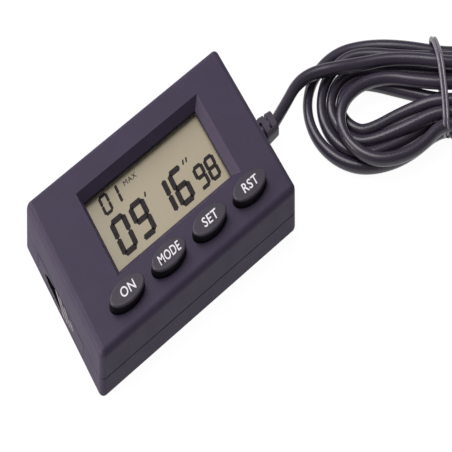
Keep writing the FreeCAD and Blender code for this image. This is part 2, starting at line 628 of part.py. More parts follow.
# ---------------------------------------------------------------- lead, hank and probe
def strain_relief():
    """Moulded boot: a flange inside the wall, a neck in it and a slotted, tapering snout outside."""
    body = new_body("relief_blank")
    wall_x = "case_length / 2"
    inside = sketch_on(body, "YZ_Plane", (0, "relief_centre_z", f"{wall_x} - wall - relief_flange"))
    add_rectangle(inside, "relief_flange_width", "relief_flange_height")
    pad(body, inside, "relief_flange - 2 * fit_gap")
    neck = sketch_on(body, "YZ_Plane", (0, "relief_centre_z", f"{wall_x} - wall - relief_flange"))
    add_rectangle(neck, "relief_width", "relief_height")
    pad(body, neck, "wall + relief_flange")
    root = sketch_on(body, "YZ_Plane", (0, "relief_centre_z", wall_x))
    add_rectangle(root, "relief_width", "relief_height")
    end = sketch_on(body, "YZ_Plane", (0, "relief_centre_z", f"{wall_x} + relief_length"))
    add_rectangle(end, "relief_end_width", "relief_end_height")
    snout = body.newObject("PartDesign::AdditiveLoft", "relief_snout")
    snout.Profile = root
    snout.Sections = [end]
    snout.Ruled = True
    body.Tip = snout
    doc.recompute()
    outside = size("case_length") / 2 + 0.01
    dress(body, "Fillet", lambda edge: edge.BoundBox.XLength > 4 and edge.BoundBox.XMax > outside + 2,
          "relief_rounding")
    dress(body, "Fillet", lambda edge: edge.BoundBox.XMin > outside + size("relief_length") - 0.1,
          "relief_end_rounding")
    slots = []
    for i, (low, high) in enumerate((("-4", "0.9"), ("-1.7", "4"))):
        slots.append(relief_slot(f"relief_slot_{i}", i, low, high))
    slots.append(relief_slot("relief_slot_notch", 0, "2.1", "4"))
    subtract("strain_relief", body, fuse("relief_slots", slots))


def relief_slot(name, number, low, high):
    """A cross slot from one side of the snout down to the lead inside it."""
    x = f"case_length / 2 + 1.7 + relief_pitch * {number}"
    slab = block(f"{name}_slab", x, low, "relief_centre_z - relief_height", "relief_slot",
                 f"{high} - ({low})", "2 * relief_height")
    core = rod(f"{name}_core", f"{x} - 1", 0, "relief_centre_z", "relief_core_radius", "relief_slot + 2",
               axis="x")
    return subtract(name, slab, core)


def tube(label, route, diameter):
    """A round lead along straight runs joined by tangent arcs; prints the arcs' radii."""
    points = [Vector(*point) for point in route]
    edges, start, radii = [], points[0], []
    for before, corner, after in zip(points, points[1:], points[2:]):
        into, out = (corner - before).normalize(), (after - corner).normalize()
        turn = into.getAngle(out)
        reach = 0.45 * min(corner.distanceToPoint(before), corner.distanceToPoint(after))
        radii.append(reach / math.tan(turn / 2))
        first, last = corner - into * reach, corner + out * reach
        inward = (out - into).normalize()
        middle = corner + inward * (radii[-1] / math.cos(turn / 2) - radii[-1])
        edges += [Part.LineSegment(start, first).toShape(), Part.Arc(first, middle, last).toShape()]
        start = last
    edges.append(Part.LineSegment(start, points[-1]).toShape())
    spine = Part.Wire(edges)
    ring = Part.Circle(points[0], points[1] - points[0], diameter / 2)
    feature = doc.addObject("Part::Feature", label)
    feature.Shape = spine.makePipeShell([Part.Wire([ring.toShape()])], True, True)
    feature.Label = label
    section = math.pi * diameter ** 2 / 4
    print(label, "length", round(spine.Length, 2), "radii", [round(radius, 1) for radius in radii],
          "volume share", round(feature.Shape.Volume / (section * spine.Length), 4))


def hank_place(feature):
    """Put a piece that is drawn in the hank's own frame where the hank lies."""
    feature.Placement.Rotation = FreeCAD.Rotation(Vector(0, 0, 1), size("hank_turn"))
    feature.setExpression("Placement.Base.x", link("hank_x"))
    feature.setExpression("Placement.Base.y", link("hank_y"))


def cord_hank():
    """Outer shape of the tied hank: two round lobes joined by the bundle that the tie holds."""
    lobes = [rod("hank_near_lobe", "near_radius", "near_offset", 0, "near_radius", "hank_height"),
             rod("hank_far_lobe", "hank_length - far_radius", "far_offset", 0, "far_radius", "hank_height")]
    waist = block("hank_waist", "near_radius", "waist_low", 0, "hank_length - near_radius - far_radius",
                  "waist_high - waist_low", "hank_height")
    whole = fuse("hank_blank", lobes + [waist])
    doc.recompute()
    soft = size("hank_rounding")
    rounded = doc.addObject("Part::Fillet", "cord_hank")
    rounded.Base = whole
    rounded.Edges = [(i, soft, soft) for i, edge in enumerate(whole.Shape.Edges, start=1)
                     if edge.BoundBox.ZMin > size("hank_height") - 0.01]
    rounded.Label = "cord_hank"
    hank_place(rounded)


def twist_tie():
    """Wire tie round the middle of the hank: a closed band whose lower run passes under it."""
    body = new_body("twist_tie")
    hank_place(body)
    band = sketch_on(body, "YZ_Plane", ("(waist_high + waist_low) / 2", "hank_height / 2", "tie_x"))
    add_rectangle(band, "waist_high - waist_low + 2 * tie_diameter", "hank_height")
    add_rectangle(band, "waist_high - waist_low - 2 * fit_gap", "hank_height - 2 * tie_diameter")
    pad(body, band, "tie_diameter", both_ways=True)
    top, far = size("hank_height"), size("waist_high") + size("tie_diameter")

    def outer_corner(edge):
        middle = edge.CenterOfMass
        level = min(abs(middle.z), abs(middle.z - top)) < 0.01
        return level and edge.BoundBox.YLength < 0.01 and (middle.y > far - 0.1 or middle.y < 0)
    dress(body, "Fillet", outer_corner, "tie_diameter / 2")


def probe():
    """Moulded sleeve and the steel sensor tip with its rounded nose, in line with the hank."""
    sleeve = doc.addObject("Part::Cone", "probe_sleeve")
    sleeve.Label = "probe_sleeve"
    for name, formula in (("Radius1", "sleeve_small_radius"), ("Radius2", "sleeve_large_radius"),
                          ("Height", "sleeve_length")):
        sleeve.setExpression(name, link(formula))
    tip_body = rod("probe_rod", 0, 0, 0, "probe_radius", "probe_length")
    doc.recompute()
    tip = doc.addObject("Part::Fillet", "probe_tip")
    tip.Base = tip_body
    nose = size("probe_nose")
    tip.Edges = [(i, nose, nose) for i, edge in enumerate(tip_body.Shape.Edges, start=1)
                 if edge.BoundBox.ZMin > size("probe_length") - 0.01]
    tip.Label = "probe_tip"
    turn = math.radians(size("hank_turn"))
    lying = FreeCAD.Rotation(Vector(0, 0, 1), size("hank_turn")) * FreeCAD.Rotation(Vector(0, 1, 0), 90)
    start, across = size("sleeve_start"), size("probe_y")
    for feature, along in ((sleeve, start), (tip, start + size("sleeve_length"))):
        x = size("hank_x") + along * math.cos(turn) - across * math.sin(turn)
        y = size("hank_y") + along * math.sin(turn) + across * math.cos(turn)
        feature.Placement = FreeCAD.Placement(Vector(x, y, size("sleeve_large_radius")), lying)


# ---------------------------------------------------------------- make, check and write
front_shell()
rear_cover()
case_screws()
display_window()
lcd_panel()
lcd_reflector()
lcd_holder()
zebra_strip("zebra_strip_upper", "+")
zebra_strip("zebra_strip_lower", "-")
circuit_board()
controller_blob()
timing_crystal()
chip_components()
board_screws()
lead_wires()
for number, word in enumerate(BUTTONS):
    button(number, word)
    return_dome(number, word)
battery_drawer()
coin_cell()
battery_contacts()
strain_relief()
tube("cord_lead", LEAD_ROUTE, size("lead_diameter"))
cord_hank()
twist_tie()
tube("cord_tail", TAIL_ROUTE, size("lead_diameter"))
probe()
doc.recompute()

NODES = ["front_shell", "rear_cover", "case_screws", "display_window", "lcd_panel", "lcd_reflector",
         "lcd_holder", "zebra_strip_upper", "zebra_strip_lower", "circuit_board", "controller_blob",
         "timing_crystal", "chip_components", "board_screws", "lead_wires", "battery_drawer", "coin_cell",
         "contact_upper", "contact_lower", "strain_relief", "cord_lead", "cord_hank", "twist_tie",
         "cord_tail", "probe_sleeve", "probe_tip"]
NODES += [f"{kind}_{word}" for kind in ("button", "return_dome") for word in BUTTONS]

for thing in doc.Objects:
    if "Invalid" in thing.State or "Error" in thing.State:
        raise RuntimeError(f"{thing.Name} failed: {thing.State}")
os.makedirs("parts", exist_ok=True)
for node in NODES:
    shape = doc.getObjectsByLabel(node)[0].Shape
    if shape.isNull() or not shape.isValid() or not shape.Solids:
        raise RuntimeError(f"{node} has no valid solid")
    shape.exportStep(f"parts/{node}.step")
    box = shape.optimalBoundingBox()
    print(f"{node:20s} solids {len(shape.Solids)}  x {box.XMin:7.2f} {box.XMax:7.2f}  y {box.YMin:7.2f} "
          f"{box.YMax:7.2f}  z {box.ZMin:6.2f} {box.ZMax:6.2f}  volume {shape.Volume:9.2f}")
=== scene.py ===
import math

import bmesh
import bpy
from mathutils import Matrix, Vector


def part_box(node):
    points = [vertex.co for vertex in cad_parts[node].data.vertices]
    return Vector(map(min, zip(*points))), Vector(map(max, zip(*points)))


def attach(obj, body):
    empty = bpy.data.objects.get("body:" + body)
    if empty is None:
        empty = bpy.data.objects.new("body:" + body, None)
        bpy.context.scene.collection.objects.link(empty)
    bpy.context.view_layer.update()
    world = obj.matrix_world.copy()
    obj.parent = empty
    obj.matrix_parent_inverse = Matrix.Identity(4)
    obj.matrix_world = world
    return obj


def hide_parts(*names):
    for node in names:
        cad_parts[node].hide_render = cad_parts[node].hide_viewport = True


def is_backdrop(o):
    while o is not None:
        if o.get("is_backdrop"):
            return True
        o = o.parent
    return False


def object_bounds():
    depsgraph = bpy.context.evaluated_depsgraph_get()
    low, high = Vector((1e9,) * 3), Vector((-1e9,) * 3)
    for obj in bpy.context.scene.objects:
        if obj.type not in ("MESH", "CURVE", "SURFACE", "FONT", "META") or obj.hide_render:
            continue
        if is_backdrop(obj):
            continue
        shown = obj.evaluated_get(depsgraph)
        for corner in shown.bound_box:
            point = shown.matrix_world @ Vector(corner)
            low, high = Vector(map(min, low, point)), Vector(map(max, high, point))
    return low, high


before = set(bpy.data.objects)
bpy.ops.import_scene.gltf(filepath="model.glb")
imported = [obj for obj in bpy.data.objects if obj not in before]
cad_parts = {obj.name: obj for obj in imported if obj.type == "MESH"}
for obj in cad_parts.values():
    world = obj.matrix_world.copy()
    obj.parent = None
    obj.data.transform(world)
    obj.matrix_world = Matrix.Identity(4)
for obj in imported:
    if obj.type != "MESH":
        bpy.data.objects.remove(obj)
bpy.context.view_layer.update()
# %% [markdown]
# # A pocket probe instrument with a coiled lead
# The object is a flat plastic case with a display, four keys, a battery drawer and a thin lead that is folded
# into a tied hank. The engineering model is already loaded, and this lesson only adds what the eye wants:
# finishes, printed legends, display digits, the lead and its wire tie.

MM = 0.001

# %% [markdown]
# ## The camera
# A plain camera looks along its own axis and shows things without shear. This view is an oblique one: it is
# narrower than it is high, and squares on the case lean. That could be faked by squeezing the object, which
# would spoil its size, so instead the axes of the camera lean a little. A parent empty carries the leaning
# matrix, because a camera's own rotation can hold only square axes.

# %% The camera and its leaning axes
AIM = Vector((15.609, -8.005, 0)) * MM
AWAY = 1.215945
AZIMUTH = math.radians(-34.394)
ELEVATION = math.radians(52.684)
ROLL = math.radians(-0.246)
UP_LEAN = -0.882
SIDE_LEAN = 0.028
LENS = 359.51
CLIP = (0.1, 50)


def aim_camera():
    """A long lens far from the object, whose up and side axes lean towards the object."""
    back = Vector((math.sin(AZIMUTH) * math.cos(ELEVATION), -math.cos(AZIMUTH) * math.cos(ELEVATION),
                   math.sin(ELEVATION)))
    level = Vector((math.cos(AZIMUTH), math.sin(AZIMUTH), 0))
    upright = back.cross(level)
    side = level * math.cos(ROLL) + upright * math.sin(ROLL)
    top = upright * math.cos(ROLL) - level * math.sin(ROLL)
    side = side * math.cos(SIDE_LEAN) - back * math.sin(SIDE_LEAN)
    top = top * math.cos(UP_LEAN) - back * math.sin(UP_LEAN)
    stand = AIM + back * AWAY
    rig = bpy.data.objects.new("camera_rig", None)
    camera = bpy.data.objects.new("camera", bpy.data.cameras.new("camera"))
    for thing in (rig, camera):
        bpy.context.scene.collection.objects.link(thing)
    camera.data.lens = LENS
    camera.data.clip_start, camera.data.clip_end = CLIP
    camera.parent = rig
    rows = [(side[i], top[i], back[i], stand[i]) for i in range(3)]
    camera.matrix_parent_inverse = Matrix([*rows, (0, 0, 0, 1)])
    bpy.context.scene.camera = camera
    return stand


print("camera stands at", [round(v, 3) for v in aim_camera()])

# %% [markdown]
# ## The lead
# The lead is one limp round cord, 2.7 mm thick. It leaves the strain relief, climbs over the end of a folded
# hank, and is wound round it in five turns that a wire tie gathers at the middle. Its far end leaves the hank
# for the probe. A cord like this could be a mesh swept by hand, but a NURBS curve with one spline keeps it
# smooth and of one length. The free ends repeat the design's own route. The turns are worked out by a loop in
# the hank's own directions: along it, across it, and up.

# %% Route of the free ends, and the hank's own directions
LEAD_ROUTE = [(37.4, 0, 5.0), (42.3, 1.7, 4.9), (47.6, 3.9, 4.7), (52.6, 3.5, 4.7), (58.4, 0.6, 5.1)]
TAIL_ROUTE = [(89.7, -14.0, 1.5), (96.8, -16.1, 1.4), (102.62, -17.35, 2.4), (106.73, -20.2, 2.4)]
HANK_START = Vector((47.2, 0.1, 0))
HANK_TURN = Matrix.Rotation(math.radians(-34.7), 4, "Z")
WAIST = 39.0
CORD = 2.7


def on_hank(along, across, up):
    """A place in the hank's own directions, in mm, as a place in the row frame."""
    return HANK_START + HANK_TURN @ Vector((along, across, up))


print("the hank's waist is at", [round(v, 1) for v in on_hank(WAIST, 0, 0)])

# %% [markdown]
# Each turn crosses the waist twice, once on the upper side and once on the lower side, and each crossing has
# a place of its own in the bundle: how far across, and how high. Beyond the waist a turn opens into a lobe. A
# lobe is given by how far it reaches, how far across its two runs lie, how deep its two rounded corners are,
# how high it lies as it leaves, at its far end and as it comes back, and a way in to the waist. No two lobes
# are alike, because loose turns fan out. The cord goes round the near lobe from its lower run to its upper.

# %% Places at the waist and the shape of every lobe
LEAD_PLACE = (8.0, 5.35)
TURNS = {
    "top": {"upper": (3.5, 4.8), "lower": (-5.0, 4.75)},
    "inner": {"upper": (1.5, 2.1), "lower": (0.2, 4.75)},
    "third": {"upper": (7.6, 2.1), "lower": (-2.3, 4.7)},
    "second": {"upper": (10.8, 3.0), "lower": (-1.1, 2.1)},
    "outer": {"upper": (14.3, 2.7), "lower": (-3.8, 2.1)},
}
NEAR_LOBES = {
    "top": {"reach": 28.6, "runs": (5.2, -13.3), "corners": (13.5, 11.8), "heights": (4.05, 4.05, 4.05),
            "way_in": (-11.1, 4.1)},
    "inner": {"reach": 28.5, "runs": (6.2, -4.9), "corners": (7.5, 7.0), "heights": (1.35, 1.35, 1.35),
              "way_in": (-1.1, 2.5)},
    "third": {"reach": 31.2, "runs": (9.2, -7.5), "corners": (10.0, 9.5), "heights": (1.35, 1.35, 1.5),
              "way_in": (-5.4, 3.2)},
    "second": {"reach": 33.9, "runs": (11.9, -10.2), "corners": (12.0, 11.5), "heights": (2.5, 1.35, 1.35),
               "way_in": (-7.0, 1.4)},
    "outer": {"reach": 37.7, "runs": (14.4, -12.9), "corners": (16.5, 16.0), "heights": (1.35, 1.35, 1.35),
              "way_in": (-10.8, 1.4)},
}
FAR_LOBES = {
    "top": {"reach": 30.5, "runs": (7.6, -9.4), "corners": (11.0, 11.0), "heights": (4.7, 4.2, 4.1),
            "way_in": (-7.0, 4.1)},
    "inner": {"reach": 25.5, "runs": (5.0, -4.1), "corners": (7.0, 7.0), "heights": (4.05, 4.05, 4.05),
              "way_in": (-1.6, 4.05)},
    "third": {"reach": 28.0, "runs": (3.4, -6.8), "corners": (8.0, 8.0), "heights": (1.35, 2.2, 4.1),
              "way_in": (-4.5, 4.05)},
    "second": {"reach": 31.8, "runs": (8.0, -6.6), "corners": (10.0, 10.0), "heights": (1.35, 1.35, 1.35),
               "way_in": (-4.2, 1.35)},
    "outer": {"reach": 34.6, "runs": (11.0, -9.6), "corners": (12.0, 12.0), "heights": (1.9, 1.35, 1.35),
              "way_in": (-7.2, 1.35)},
}
CLIMB_TO_HANK = [(16.0, 8.1, 4.6), (24.0, 9.3, 4.7), (32.0, 9.0, 5.0)]
LOBE_STEPS = 6
print("turns in the hank:", len(TURNS))

# %% Points of one lobe
def lobe(side, shape, upper_place):
    """Points of a lobe from its upper run to its lower. side is -1 for the near lobe and 1 for the far."""
    upper, lower = shape["runs"]
    leaving, end, coming = shape["heights"]
    step = math.pi / LOBE_STEPS
    swell = 1 / math.cos(step / 2)
    half_way = (shape["reach"] - max(shape["corners"])) / 2
    place_across, place_up = upper_place
    points = [(WAIST + side * half_way, (upper + place_across) / 2, (place_up + leaving) / 2)]
    for i in range(LOBE_STEPS + 1):
        turned = step * i
        first_half = i <= LOBE_STEPS // 2
        corner = shape["corners"][0 if first_half else 1]
        nearest = leaving if first_half else coming
        out = shape["reach"] - corner + corner * swell * math.sin(turned)
        across = (upper + lower) / 2 + (upper - lower) / 2 * swell * math.cos(turned)
        points.append((WAIST + side * out, across, nearest + (end - nearest) * math.sin(turned) ** 2))
    points.append((WAIST + side * half_way, *shape["way_in"]))
    return points


def hank_points():
    """Every point of the hank in the order in which the cord goes through it."""
    points = [*CLIMB_TO_HANK, (WAIST, *LEAD_PLACE)]
    arriving = LEAD_PLACE
    for name, places in TURNS.items():
        points += lobe(1, FAR_LOBES[name], arriving)
        points.append((WAIST, *places["lower"]))
        points += reversed(lobe(-1, NEAR_LOBES[name], places["upper"]))
        arriving = places["upper"]
        if name != "outer":
            points.append((WAIST, *arriving))
    return [on_hank(*p) for p in points]


print("points in the hank:", len(hank_points()))

# %% The cord's curve
def smooth_curve(name, points, radius, closed=False):
    """A round NURBS curve along points in mm. Each point's own radius turns the bevel depth into metres."""
    curve = bpy.data.curves.new(name, "CURVE")
    curve.dimensions = "3D"
    curve.resolution_u = 10
    curve.bevel_depth = radius
    curve.bevel_resolution = 5
    curve.use_fill_caps = not closed
    spline = curve.splines.new("NURBS")
    spline.points.add(len(points) - 1)
    for point, place in zip(spline.points, points):
        point.co = (*(Vector(place) * MM), 1)
        point.radius = MM
    spline.order_u = 3
    spline.use_cyclic_u = closed
    spline.use_endpoint_u = not closed
    piece = bpy.data.objects.new(name, curve)
    bpy.context.scene.collection.objects.link(piece)
    return piece


lead = smooth_curve("lead_cord", [*LEAD_ROUTE, *hank_points(), *TAIL_ROUTE], CORD / 2)
bare = lead.data.copy()
bare.bevel_depth = 0
bare_line = bpy.data.objects.new("bare_line", bare)
bare_mesh = bpy.data.meshes.new_from_object(bare_line)
bpy.data.meshes.remove(bare_mesh)
bpy.data.curves.remove(bare)

# %% [markdown]
# ## Small helpers for modelling
# Operators act on whatever is selected, so each step starts by deselecting everything. Faces and vertices are
# then picked by where they are. A finished piece sits at the origin with its place in its mesh.

# %% Helpers for selecting and shaping
def start_fresh():
    bpy.ops.object.select_all(action="DESELECT")


def pick(piece, wanted, kind="verts"):
    """In edit mode, selects the vertices or faces for which wanted(place) is true."""
    bpy.ops.mesh.select_all(action="DESELECT")
    mesh = bmesh.from_edit_mesh(piece.data)
    for part in getattr(mesh, kind):
        place = part.co if kind == "verts" else part.calc_center_median()
        if wanted(place):
            part.select_set(True)
    mesh.select_flush_mode()
    bmesh.update_edit_mesh(piece.data)


def settle(piece, matrix, name):
    """Puts a piece's place into its mesh, and leaves its object at the origin."""
    piece.data.transform(matrix @ piece.matrix_world)
    piece.matrix_world = Matrix.Identity(4)
    piece.data.update()
    piece.name = name
    piece.data.name = name
    return piece


def join(pieces, name):
    """Makes one piece of several."""
    start_fresh()
    for piece in pieces:
        piece.select_set(True)
    bpy.context.view_layer.objects.active = pieces[0]
    if len(pieces) > 1:
        bpy.ops.object.join()
    pieces[0].name = name
    pieces[0].data.name = name
    return pieces[0]


def to_mesh(piece):
    """Turns a curve or a text into a mesh."""
    start_fresh()
    piece.select_set(True)
    bpy.context.view_layer.objects.active = piece
    bpy.ops.object.convert(target="MESH")
    return bpy.context.view_layer.objects.active


print("helpers are ready")

# %% [markdown]
# ## The wire tie
# Two coated wires lie side by side round the waist of the hank, and their ends are twisted together below it.
# The loop could be a stretched circle, but then it would cut through the cords, so it follows the bundle:
# flat underneath, below the lowest strands, up over the lead on top and down again. It also slants a little
# along the hank and bows away from the case, as a hand-wound tie does.

# %% The tie's loop and its twisted ends
TIE_WIRE = 0.95
TIE_ROUND = [(15.0, 0.55), (16.0, 2.0), (14.6, 4.2), (11.2, 5.9), (8.0, 7.3), (5.0, 6.9), (1.4, 6.55),
             (-3.0, 6.6), (-6.6, 6.2), (-6.9, 3.9), (-6.2, 1.9), (-5.0, 0.52), (-1.0, 0.52), (4.7, 0.52),
             (10.2, 0.52)]
TIE_ALONG = 38.5
TIE_SLANT = -0.104
TIE_BOW = 0.9
TIE_MIDDLE, TIE_HALF = 4.5, 11.5
TWIST_START = Vector((39.6, -6.3, 2.6))
TWIST_RUN, TWIST_SWEEP, TWIST_FALL = 6.0, 2.4, 1.6
TWIST_POINTS = 22
TWIST_STEP = 1.25


def tie_loop(shift):
    """One wire of the loop; shift moves it along the hank. The loop bows a little away from the case."""
    points = []
    for across, up in TIE_ROUND:
        bow = TIE_BOW * (1 - ((across - TIE_MIDDLE) / TIE_HALF) ** 2)
        points.append(on_hank(TIE_ALONG + TIE_SLANT * across + bow + shift, across, up))
    return points


def twisted_end(phase):
    """One of two wires that wind round each other away from the bundle."""
    points = []
    for i in range(TWIST_POINTS):
        gone = i / (TWIST_POINTS - 1)
        bend = 0.5 * math.pi * gone
        along, across = TWIST_RUN * math.sin(bend), -TWIST_SWEEP * (1 - math.cos(bend))
        centre = TWIST_START + Vector((along, across, -TWIST_FALL * gone))
        angle = phase + i * TWIST_STEP
        off = Vector((0, math.cos(angle), math.sin(angle))) * TIE_WIRE * 0.5
        points.append(on_hank(*(centre + off)))
    return points


tie_parts = [smooth_curve(f"tie_{i}", tie_loop(shift), TIE_WIRE / 2, closed=True)
             for i, shift in enumerate((-TIE_WIRE / 2, TIE_WIRE / 2))]
tie_parts += [smooth_curve(f"tie_end_{i}", twisted_end(phase), TIE_WIRE / 2)
              for i, phase in enumerate((0, math.pi))]
wire_tie = join([to_mesh(part) for part in tie_parts], "wire_tie")
print("tie faces:", len(wire_tie.data.polygons))

# %% [markdown]
# ## The probe
# The sensor sits in a closed steel tube, and a shrunk sleeve holds the tube to the lead. Both are turned
# shapes: each starts as a cylinder, whose end faces are extruded and scaled into steps, and a bevel softens
# every step.

# %% The probe's tube and sleeve
PROBE_ACROSS, PROBE_UP = 17.2, 2.4
TUBE_START, SLEEVE_START = 69.5, 60.5
NOSE_START, NOSE_ROUND, NOSE_FLAT = 17.8, 1.2, 0.9
RIDGES, RIDGE_PITCH = 4, 1.5


def piece_vertices(piece):
    return bmesh.from_edit_mesh(piece.data).verts


def turned(name, start, profile):
    """A round piece along the hank: start is where it begins, profile is (distance, radius) pairs, in mm."""
    start_fresh()
    first, radius = profile[0]
    bpy.ops.mesh.primitive_cylinder_add(vertices=48, radius=radius * MM, depth=0.02 * MM)
    piece = bpy.context.object
    bpy.ops.object.mode_set(mode="EDIT")
    reached = first
    for distance, wide in profile[1:]:
        top = max(v.co.z for v in piece_vertices(piece))
        pick(piece, lambda place: place.z > top - 0.001 * MM, "faces")
        bpy.ops.mesh.extrude_region_move(TRANSFORM_OT_translate={"value": (0, 0, (distance - reached) * MM)})
        scale = wide / radius
        bpy.ops.transform.resize(value=(scale, scale, 1))
        reached, radius = distance, wide
    bpy.ops.object.mode_set(mode="OBJECT")
    edge = piece.modifiers.new("soft_steps", "BEVEL")
    edge.width = 0.12 * MM
    edge.segments = 3
    edge.limit_method = "ANGLE"
    edge.angle_limit = math.radians(25)
    bpy.ops.object.modifier_apply(modifier=edge.name)
    bpy.ops.object.shade_smooth_by_angle(angle=math.radians(35))
    place = Matrix.Translation(on_hank(start, PROBE_ACROSS, PROBE_UP) * MM) @ HANK_TURN
    return settle(piece, place @ Matrix.Rotation(math.radians(90), 4, "Y"), name)


nose = []
for degrees in range(0, 91, 15):
    angle = math.radians(degrees)
    nose.append((NOSE_START + NOSE_ROUND * math.sin(angle), NOSE_FLAT + NOSE_ROUND * math.cos(angle)))
probe_tube = turned("probe_tube", TUBE_START, [(0, 2.05), (0.02, 2.1), *nose])
ridges = [(1.0 + RIDGE_PITCH * i + step, 1.75 + 0.13 * i + rise) for i in range(RIDGES)
          for step, rise in ((0, 0), (0.35, 0.22), (0.75, 0.22), (1.1, 0.05))]
sleeve = turned("probe_boot", SLEEVE_START, [(0, 1.55), (0.3, 1.7), *ridges, (7.4, 2.4), (9.0, 2.4)])
print("probe parts:", len(probe_tube.data.vertices), "and", len(sleeve.data.vertices), "vertices")

for piece, nodes in ((lead, ("cord_lead", "cord_hank", "cord_tail")), (wire_tie, ("twist_tie",)),
                     (probe_tube, ("probe_tip",)), (sleeve, ("probe_sleeve",))):
    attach(piece, "case")
    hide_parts(*nodes)

# %% [markdown]
# ## Display marks
# The display shows slanted seven-bar digits. Each bar is one long hexagon, made from a six-sided disc whose
# two halves are pulled apart. A row of digits is a short text such as "09", a table says which bars each
# digit lights, and the finished bars are joined into one thin piece that lies on the glass. A font could do
# it faster, but its bars would not have this shape. A row is given by its text, the middles of its digits,
# its bottom, and then a digit's width, its height and its stroke.

# %% One bar, and the digits made of it
DISPLAY_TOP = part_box("lcd_panel")[1].z / MM
BARS_OF = {"0": "abcdef", "1": "bc", "6": "acdefg", "8": "abcdefg", "9": "abcdfg"}
DIGIT_SLANT = 0.04
MARK_THICKNESS = 0.04
HEXAGON = 0.577
BAR_GAP = 0.1
ROWS = [("09", (-11.65, -5.75), -3.95, 4.85, 8.95, 1.35), ("16", (1.35, 6.75), -3.95, 4.7, 8.95, 1.35),
        ("98", (12.4, 15.9), -3.8, 3.15, 5.9, 0.88), ("01", (-12.1, -9.05), 6.35, 2.75, 4.85, 0.72)]
TICKS = [(-2.2, 4.55), (10.1, 4.6), (11.1, 4.6)]
TICK_LENGTH, TICK_WIDTH = 1.15, 0.42
TICK_TURN = Matrix.Rotation(math.radians(-24), 4, "Z")


def bar(length, width):
    """A flat bar with pointed ends that stands upright at the origin, in mm."""
    start_fresh()
    bpy.ops.mesh.primitive_circle_add(vertices=6, radius=width * HEXAGON * MM, fill_type="NGON")
    piece = bpy.context.object
    bpy.ops.object.mode_set(mode="EDIT")
    pull = (length - width) / 2 * MM
    for sign in (1, -1):
        pick(piece, lambda place, sign=sign: place.y * sign > 0.01 * width * MM)
        bpy.ops.transform.translate(value=(0, sign * pull, 0))
    bpy.ops.mesh.select_all(action="SELECT")
    bpy.ops.mesh.extrude_region_move(TRANSFORM_OT_translate={"value": (0, 0, MARK_THICKNESS * MM)})
    bpy.ops.object.mode_set(mode="OBJECT")
    return piece


def digit(character, centre, bottom, wide, high, stroke):
    """The bars of one digit, as separate pieces."""
    side, rise = (wide - stroke) / 2, (high - stroke) / 2
    places = {"a": (0, 2 * rise, 90), "g": (0, rise, 90), "d": (0, 0, 90), "b": (side, 1.5 * rise, 0),
              "c": (side, 0.5 * rise, 0), "e": (-side, 0.5 * rise, 0), "f": (-side, 1.5 * rise, 0)}
    slant = Matrix(((1, DIGIT_SLANT, 0, 0), (0, 1, 0, 0), (0, 0, 1, 0), (0, 0, 0, 1)))
    made = []
    for name in BARS_OF[character]:
        right, up, turn = places[name]
        piece = bar((2 * side if turn else rise) - BAR_GAP, stroke)
        local = Matrix.Translation(Vector((right, up, 0)) * MM) @ Matrix.Rotation(math.radians(turn), 4, "Z")
        corner = Matrix.Translation(Vector((centre, bottom + stroke / 2, DISPLAY_TOP)) * MM)
        made.append(settle(piece, corner @ slant @ local, "bar"))
    return made


marks = []
for text, centres, bottom, wide, high, stroke in ROWS:
    for character, centre in zip(text, centres):
        marks += digit(character, centre, bottom, wide, high, stroke)
for across, up in TICKS:
    spot = Matrix.Translation(Vector((across, up, DISPLAY_TOP)) * MM)
    marks.append(settle(bar(TICK_LENGTH, TICK_WIDTH), spot @ TICK_TURN, "tick"))
print("bars on the display:", len(marks))

# %% [markdown]
# The small word beside the upper digits, and the legends on the keys, are generic words. They are made as
# text, thickened a little, and turned into meshes before they are placed.

# %% Words on the display and on the keys
CAPITAL_SHARE = 0.7
LEGEND_HIGH, LEGEND_BOLD, LEGEND_THICKNESS, LEGEND_SHIFT = 2.15, 0.035, 0.05, 0.15
KEYS = {"power": ("ON", 0.88), "mode": ("MODE", 0.72), "set": ("SET", 0.9), "reset": ("RST", 0.9)}


def word(text, centre, high, squeeze, bold, thickness, name):
    """A flat word with its middle at centre, in mm. squeeze narrows it, bold fattens its strokes."""
    start_fresh()
    bpy.ops.object.text_add()
    piece = bpy.context.object
    piece.data.body = text
    piece.data.align_x = "CENTER"
    piece.data.align_y = "CENTER"
    piece.data.size = high * MM / CAPITAL_SHARE
    piece.data.offset = bold * MM
    piece.data.extrude = thickness / 2 * MM
    piece.data.resolution_u = 6
    piece.data.space_character = 1.08
    piece = to_mesh(piece)
    low = Vector([min(v.co[i] for v in piece.data.vertices) for i in range(3)])
    top = Vector([max(v.co[i] for v in piece.data.vertices) for i in range(3)])
    middle = Matrix.Translation(-(low + top) / 2)
    narrow = Matrix.Diagonal((squeeze, 1, 1, 1))
    return settle(piece, Matrix.Translation(Vector(centre) * MM) @ narrow @ middle, name)


word_place = (-3.8, 9.75, DISPLAY_TOP + MARK_THICKNESS / 2)
marks.append(word("MAX", word_place, 1.2, 1.05, 0.0, MARK_THICKNESS, "word"))
display_marks = join(marks, "display_marks")
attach(display_marks, "case")

legends = {}
for key, (text, squeeze) in KEYS.items():
    low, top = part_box(f"button_{key}")
    middle = (low + top) / 2 / MM
    centre = (middle.x + LEGEND_SHIFT, middle.y, top.z / MM)
    legends[key] = word(text, centre, LEGEND_HIGH, squeeze, LEGEND_BOLD, LEGEND_THICKNESS, f"legend_{key}")
    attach(legends[key], f"{key}_key")
print("legends:", [len(piece.data.polygons) for piece in legends.values()])

# %% [markdown]
# ## Finishes
# Every finish is worked out by nodes from the place on the piece, so it is the same from every side and needs
# no pictures. A small class wraps a node's output. Plain arithmetic on such values adds Math nodes, and one
# method adds any other node. What is the same all over a surface is set on the shader itself.

